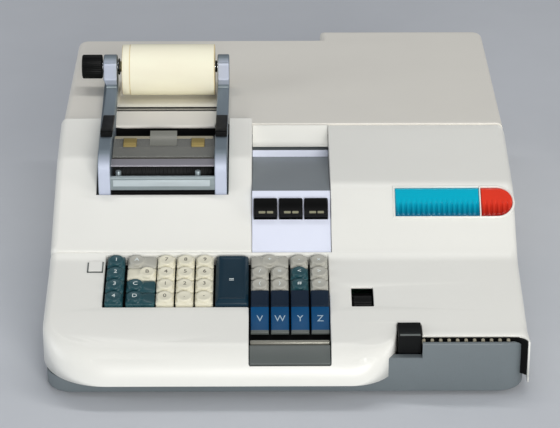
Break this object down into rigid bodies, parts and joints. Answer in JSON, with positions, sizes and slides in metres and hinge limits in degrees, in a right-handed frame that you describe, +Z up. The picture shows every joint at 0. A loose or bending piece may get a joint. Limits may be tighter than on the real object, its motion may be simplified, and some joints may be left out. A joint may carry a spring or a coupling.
{
  "type": "programmable desktop printing calculator",
  "caption": "Desktop printing calculator with a wedge-shaped cast housing, stepped keyboard, card channel, paper-roll printer on the left and a lamp bar on the right slope.",
  "frame": {"origin": "centre of the footprint of the whole machine, on the desk", "axes": "+X to the right of the person using it, +Y to the back, +Z up"},
  "size_m": [0.48, 0.621, 0.2056],
  "materials": {
    "shell": "fine-textured off-white enamel",
    "base": "satin blue-grey enamel",
    "channel": "satin pale lavender enamel",
    "bed": "satin grey",
    "vent": "matt beige",
    "frame": "satin grey-blue metallic enamel",
    "black": "fine satin black",
    "paper": "cream roll paper",
    "window": "clear, lightly smoked",
    "drum": "turned steel",
    "cyan": "ribbed translucent cyan",
    "red": "ribbed translucent red",
    "white": "opal",
    "motor": "dark enamel",
    "boards": "resin board",
    "teal": "satin moulded",
    "grey_key": "satin moulded",
    "cream_key": "satin moulded",
    "navy_key": "satin moulded",
    "blue_key": "satin moulded"
  },
  "bodies": {
    "housing": {"base_tray": "base", "main_cover": "shell", "printer_cover": "shell", "rear_cover": "shell", "card_channel": "channel", "key_bed": "bed", "vent_grille": "vent", "printer_frame": "frame", "lamp_ready": "cyan", "lamp_error": "red", "indicator_window": "white", "drive_motor": "motor", "logic_boards": "boards"},
    "paper_knob": {"paper_knob": "black"},
    "paper_roll": {"paper_roll": "paper"},
    "release_lever_left": {"release_lever_left": "black"},
    "release_lever_right": {"release_lever_right": "black"},
    "tear_window": {"tear_window": "window"},
    "print_drum": {"print_drum": "drum"},
    "rocker_1": {"rocker_1": "black"},
    "rocker_2": {"rocker_2": "black"},
    "rocker_3": {"rocker_3": "black"},
    "decimal_wheel": {"decimal_wheel": "black"},
    "power_switch": {"power_switch": "black"},
    "key_side_1": {"key_side_1": "teal"},
    "key_wide_1": {"key_wide_1": "grey_key"},
    "key_number_1_1": {"key_number_1_1": "cream_key"},
    "key_number_1_2": {"key_number_1_2": "cream_key"},
    "key_number_1_3": {"key_number_1_3": "cream_key"},
    "key_side_2": {"key_side_2": "teal"},
    "key_wide_2": {"key_wide_2": "cream_key"},
    "key_number_2_1": {"key_number_2_1": "cream_key"},
    "key_number_2_2": {"key_number_2_2": "cream_key"},
    "key_number_2_3": {"key_number_2_3": "cream_key"},
    "key_side_3": {"key_side_3": "teal"},
    "key_wide_3": {"key_wide_3": "teal"},
    "key_number_3_1": {"key_number_3_1": "cream_key"},
    "key_number_3_2": {"key_number_3_2": "cream_key"},
    "key_number_3_3": {"key_number_3_3": "cream_key"},
    "key_side_4": {"key_side_4": "teal"},
    "key_wide_4": {"key_wide_4": "teal"},
    "key_number_4_1": {"key_number_4_1": "cream_key"},
    "key_number_4_2": {"key_number_4_2": "cream_key"},
    "key_number_4_3": {"key_number_4_3": "cream_key"},
    "key_start": {"key_start": "navy_key"},
    "key_program_1_1": {"key_program_1_1": "grey_key"},
    "key_program_1_3": {"key_program_1_3": "grey_key"},
    "key_program_1_4": {"key_program_1_4": "grey_key"},
    "key_program_2_1": {"key_program_2_1": "grey_key"},
    "key_program_2_2": {"key_program_2_2": "grey_key"},
    "key_program_2_3": {"key_program_2_3": "teal"},
    "key_program_2_4": {"key_program_2_4": "grey_key"},
    "key_program_3_1": {"key_program_3_1": "grey_key"},
    "key_program_3_2": {"key_program_3_2": "grey_key"},
    "key_program_3_3": {"key_program_3_3": "teal"},
    "key_program_3_4": {"key_program_3_4": "grey_key"},
    "key_v": {"key_v": "blue_key"},
    "key_w": {"key_w": "blue_key"},
    "key_y": {"key_y": "blue_key"},
    "key_z": {"key_z": "blue_key"}
  },
  "joints": [
    {"name": "key_side_1_travel", "type": "slide", "parent": "housing", "child": "key_side_1", "axis": [0, 0.2079, -0.9781], "range_m": [0, 0.0035], "stiffness_N_per_m": 250, "springref_m": -0.001},
    {"name": "key_wide_1_travel", "type": "slide", "parent": "housing", "child": "key_wide_1", "axis": [0, 0.2079, -0.9781], "range_m": [0, 0.0035], "stiffness_N_per_m": 250, "springref_m": -0.001},
    {"name": "key_number_1_1_travel", "type": "slide", "parent": "housing", "child": "key_number_1_1", "axis": [0, 0.2079, -0.9781], "range_m": [0, 0.0035], "stiffness_N_per_m": 250, "springref_m": -0.001},
    {"name": "key_number_1_2_travel", "type": "slide", "parent": "housing", "child": "key_number_1_2", "axis": [0, 0.2079, -0.9781], "range_m": [0, 0.0035], "stiffness_N_per_m": 250, "springref_m": -0.001},
    {"name": "key_number_1_3_travel", "type": "slide", "parent": "housing", "child": "key_number_1_3", "axis": [0, 0.2079, -0.9781], "range_m": [0, 0.0035], "stiffness_N_per_m": 250, "springref_m": -0.001},
    {"name": "key_side_2_travel", "type": "slide", "parent": "housing", "child": "key_side_2", "axis": [0, 0.2079, -0.9781], "range_m": [0, 0.0035], "stiffness_N_per_m": 250, "springref_m": -0.001},
    {"name": "key_wide_2_travel", "type": "slide", "parent": "housing", "child": "key_wide_2", "axis": [0, 0.2079, -0.9781], "range_m": [0, 0.0035], "stiffness_N_per_m": 250, "springref_m": -0.001},
    {"name": "key_number_2_1_travel", "type": "slide", "parent": "housing", "child": "key_number_2_1", "axis": [0, 0.2079, -0.9781], "range_m": [0, 0.0035], "stiffness_N_per_m": 250, "springref_m": -0.001},
    {"name": "key_number_2_2_travel", "type": "slide", "parent": "housing", "child": "key_number_2_2", "axis": [0, 0.2079, -0.9781], "range_m": [0, 0.0035], "stiffness_N_per_m": 250, "springref_m": -0.001},
    {"name": "key_number_2_3_travel", "type": "slide", "parent": "housing", "child": "key_number_2_3", "axis": [0, 0.2079, -0.9781], "range_m": [0, 0.0035], "stiffness_N_per_m": 250, "springref_m": -0.001},
    {"name": "key_side_3_travel", "type": "slide", "parent": "housing", "child": "key_side_3", "axis": [0, 0.2079, -0.9781], "range_m": [0, 0.0035], "stiffness_N_per_m": 250, "springref_m": -0.001},
    {"name": "key_wide_3_travel", "type": "slide", "parent": "housing", "child": "key_wide_3", "axis": [0, 0.2079, -0.9781], "range_m": [0, 0.0035], "stiffness_N_per_m": 250, "springref_m": -0.001},
    {"name": "key_number_3_1_travel", "type": "slide", "parent": "housing", "child": "key_number_3_1", "axis": [0, 0.2079, -0.9781], "range_m": [0, 0.0035], "stiffness_N_per_m": 250, "springref_m": -0.001},
    {"name": "key_number_3_2_travel", "type": "slide", "parent": "housing", "child": "key_number_3_2", "axis": [0, 0.2079, -0.9781], "range_m": [0, 0.0035], "stiffness_N_per_m": 250, "springref_m": -0.001},
    {"name": "key_number_3_3_travel", "type": "slide", "parent": "housing", "child": "key_number_3_3", "axis": [0, 0.2079, -0.9781], "range_m": [0, 0.0035], "stiffness_N_per_m": 250, "springref_m": -0.001},
    {"name": "key_side_4_travel", "type": "slide", "parent": "housing", "child": "key_side_4", "axis": [0, 0.2079, -0.9781], "range_m": [0, 0.0035], "stiffness_N_per_m": 250, "springref_m": -0.001},
    {"name": "key_wide_4_travel", "type": "slide", "parent": "housing", "child": "key_wide_4", "axis": [0, 0.2079, -0.9781], "range_m": [0, 0.0035], "stiffness_N_per_m": 250, "springref_m": -0.001},
    {"name": "key_number_4_1_travel", "type": "slide", "parent": "housing", "child": "key_number_4_1", "axis": [0, 0.2079, -0.9781], "range_m": [0, 0.0035], "stiffness_N_per_m": 250, "springref_m": -0.001},
    {"name": "key_number_4_2_travel", "type": "slide", "parent": "housing", "child": "key_number_4_2", "axis": [0, 0.2079, -0.9781], "range_m": [0, 0.0035], "stiffness_N_per_m": 250, "springref_m": -0.001},
    {"name": "key_number_4_3_travel", "type": "slide", "parent": "housing", "child": "key_number_4_3", "axis": [0, 0.2079, -0.9781], "range_m": [0, 0.0035], "stiffness_N_per_m": 250, "springref_m": -0.001},
    {"name": "key_start_travel", "type": "slide", "parent": "housing", "child": "key_start", "axis": [0, 0.2079, -0.9781], "range_m": [0, 0.0035], "stiffness_N_per_m": 250, "springref_m": -0.001},
    {"name": "key_program_1_1_travel", "type": "slide", "parent": "housing", "child": "key_program_1_1", "axis": [0, 0.2079, -0.9781], "range_m": [0, 0.0035], "stiffness_N_per_m": 250, "springref_m": -0.001},
    {"name": "key_program_1_3_travel", "type": "slide", "parent": "housing", "child": "key_program_1_3", "axis": [0, 0.2079, -0.9781], "range_m": [0, 0.0035], "stiffness_N_per_m": 250, "springref_m": -0.001},
    {"name": "key_program_1_4_travel", "type": "slide", "parent": "housing", "child": "key_program_1_4", "axis": [0, 0.2079, -0.9781], "range_m": [0, 0.0035], "stiffness_N_per_m": 250, "springref_m": -0.001},
    {"name": "key_program_2_1_travel", "type": "slide", "parent": "housing", "child": "key_program_2_1", "axis": [0, 0.2079, -0.9781], "range_m": [0, 0.0035], "stiffness_N_per_m": 250, "springref_m": -0.001},
    {"name": "key_program_2_2_travel", "type": "slide", "parent": "housing", "child": "key_program_2_2", "axis": [0, 0.2079, -0.9781], "range_m": [0, 0.0035], "stiffness_N_per_m": 250, "springref_m": -0.001},
    {"name": "key_program_2_3_travel", "type": "slide", "parent": "housing", "child": "key_program_2_3", "axis": [0, 0.2079, -0.9781], "range_m": [0, 0.0035], "stiffness_N_per_m": 250, "springref_m": -0.001},
    {"name": "key_program_2_4_travel", "type": "slide", "parent": "housing", "child": "key_program_2_4", "axis": [0, 0.2079, -0.9781], "range_m": [0, 0.0035], "stiffness_N_per_m": 250, "springref_m": -0.001},
    {"name": "key_program_3_1_travel", "type": "slide", "parent": "housing", "child": "key_program_3_1", "axis": [0, 0.2079, -0.9781], "range_m": [0, 0.0035], "stiffness_N_per_m": 250, "springref_m": -0.001},
    {"name": "key_program_3_2_travel", "type": "slide", "parent": "housing", "child": "key_program_3_2", "axis": [0, 0.2079, -0.9781], "range_m": [0, 0.0035], "stiffness_N_per_m": 250, "springref_m": -0.001},
    {"name": "key_program_3_3_travel", "type": "slide", "parent": "housing", "child": "key_program_3_3", "axis": [0, 0.2079, -0.9781], "range_m": [0, 0.0035], "stiffness_N_per_m": 250, "springref_m": -0.001},
    {"name": "key_program_3_4_travel", "type": "slide", "parent": "housing", "child": "key_program_3_4", "axis": [0, 0.2079, -0.9781], "range_m": [0, 0.0035], "stiffness_N_per_m": 250, "springref_m": -0.001},
    {"name": "key_v_travel", "type": "slide", "parent": "housing", "child": "key_v", "axis": [0, 0.2079, -0.9781], "range_m": [0, 0.0035], "stiffness_N_per_m": 250, "springref_m": -0.001},
    {"name": "key_w_travel", "type": "slide", "parent": "housing", "child": "key_w", "axis": [0, 0.2079, -0.9781], "range_m": [0, 0.0035], "stiffness_N_per_m": 250, "springref_m": -0.001},
    {"name": "key_y_travel", "type": "slide", "parent": "housing", "child": "key_y", "axis": [0, 0.2079, -0.9781], "range_m": [0, 0.0035], "stiffness_N_per_m": 250, "springref_m": -0.001},
    {"name": "key_z_travel", "type": "slide", "parent": "housing", "child": "key_z", "axis": [0, 0.2079, -0.9781], "range_m": [0, 0.0035], "stiffness_N_per_m": 250, "springref_m": -0.001},
    {"name": "roll_turn", "type": "hinge", "parent": "housing", "child": "paper_roll", "pos_m": [-0.126, 0.1285, 0.1773], "axis": [1, 0, 0], "continuous": true},
    {"name": "knob_turn", "type": "hinge", "parent": "housing", "child": "paper_knob", "pos_m": [-0.126, 0.1285, 0.181], "axis": [1, 0, 0], "continuous": true},
    {"name": "drum_turn", "type": "hinge", "parent": "housing", "child": "print_drum", "pos_m": [-0.1275, -0.0295, 0.1235], "axis": [1, 0, 0], "continuous": true},
    {"name": "release_left_lift", "type": "hinge", "parent": "housing", "child": "release_lever_left", "pos_m": [-0.1895, 0.0205, 0.166], "axis": [-1, 0, 0], "range_deg": [0, 40]},
    {"name": "release_right_lift", "type": "hinge", "parent": "housing", "child": "release_lever_right", "pos_m": [-0.0655, 0.0205, 0.166], "axis": [-1, 0, 0], "range_deg": [0, 40]},
    {"name": "window_lift", "type": "hinge", "parent": "housing", "child": "tear_window", "pos_m": [-0.1275, -0.0093, 0.1586], "axis": [-1, 0, 0], "range_deg": [0, 70]},
    {"name": "rocker_1_tilt", "type": "hinge", "parent": "housing", "child": "rocker_1", "pos_m": [-0.019, -0.10298, 0.11345], "axis": [1, 0, 0], "range_deg": [0, 10]},
    {"name": "rocker_2_tilt", "type": "hinge", "parent": "housing", "child": "rocker_2", "pos_m": [0.0072, -0.10298, 0.11345], "axis": [1, 0, 0], "range_deg": [0, 10]},
    {"name": "rocker_3_tilt", "type": "hinge", "parent": "housing", "child": "rocker_3", "pos_m": [0.0334, -0.10298, 0.11345], "axis": [1, 0, 0], "range_deg": [0, 10]},
    {"name": "decimal_turn", "type": "hinge", "parent": "housing", "child": "decimal_wheel", "pos_m": [0.078, -0.2152, 0.054], "axis": [1, 0, 0], "continuous": true},
    {"name": "power_tilt", "type": "hinge", "parent": "housing", "child": "power_switch", "pos_m": [0.1221, -0.2695, 0.052], "axis": [1, 0, 0], "range_deg": [0, 8]}
  ],
  "couplings": [
    {"joint": "knob_turn", "follows": "roll_turn", "ratio": 1}
  ]
}
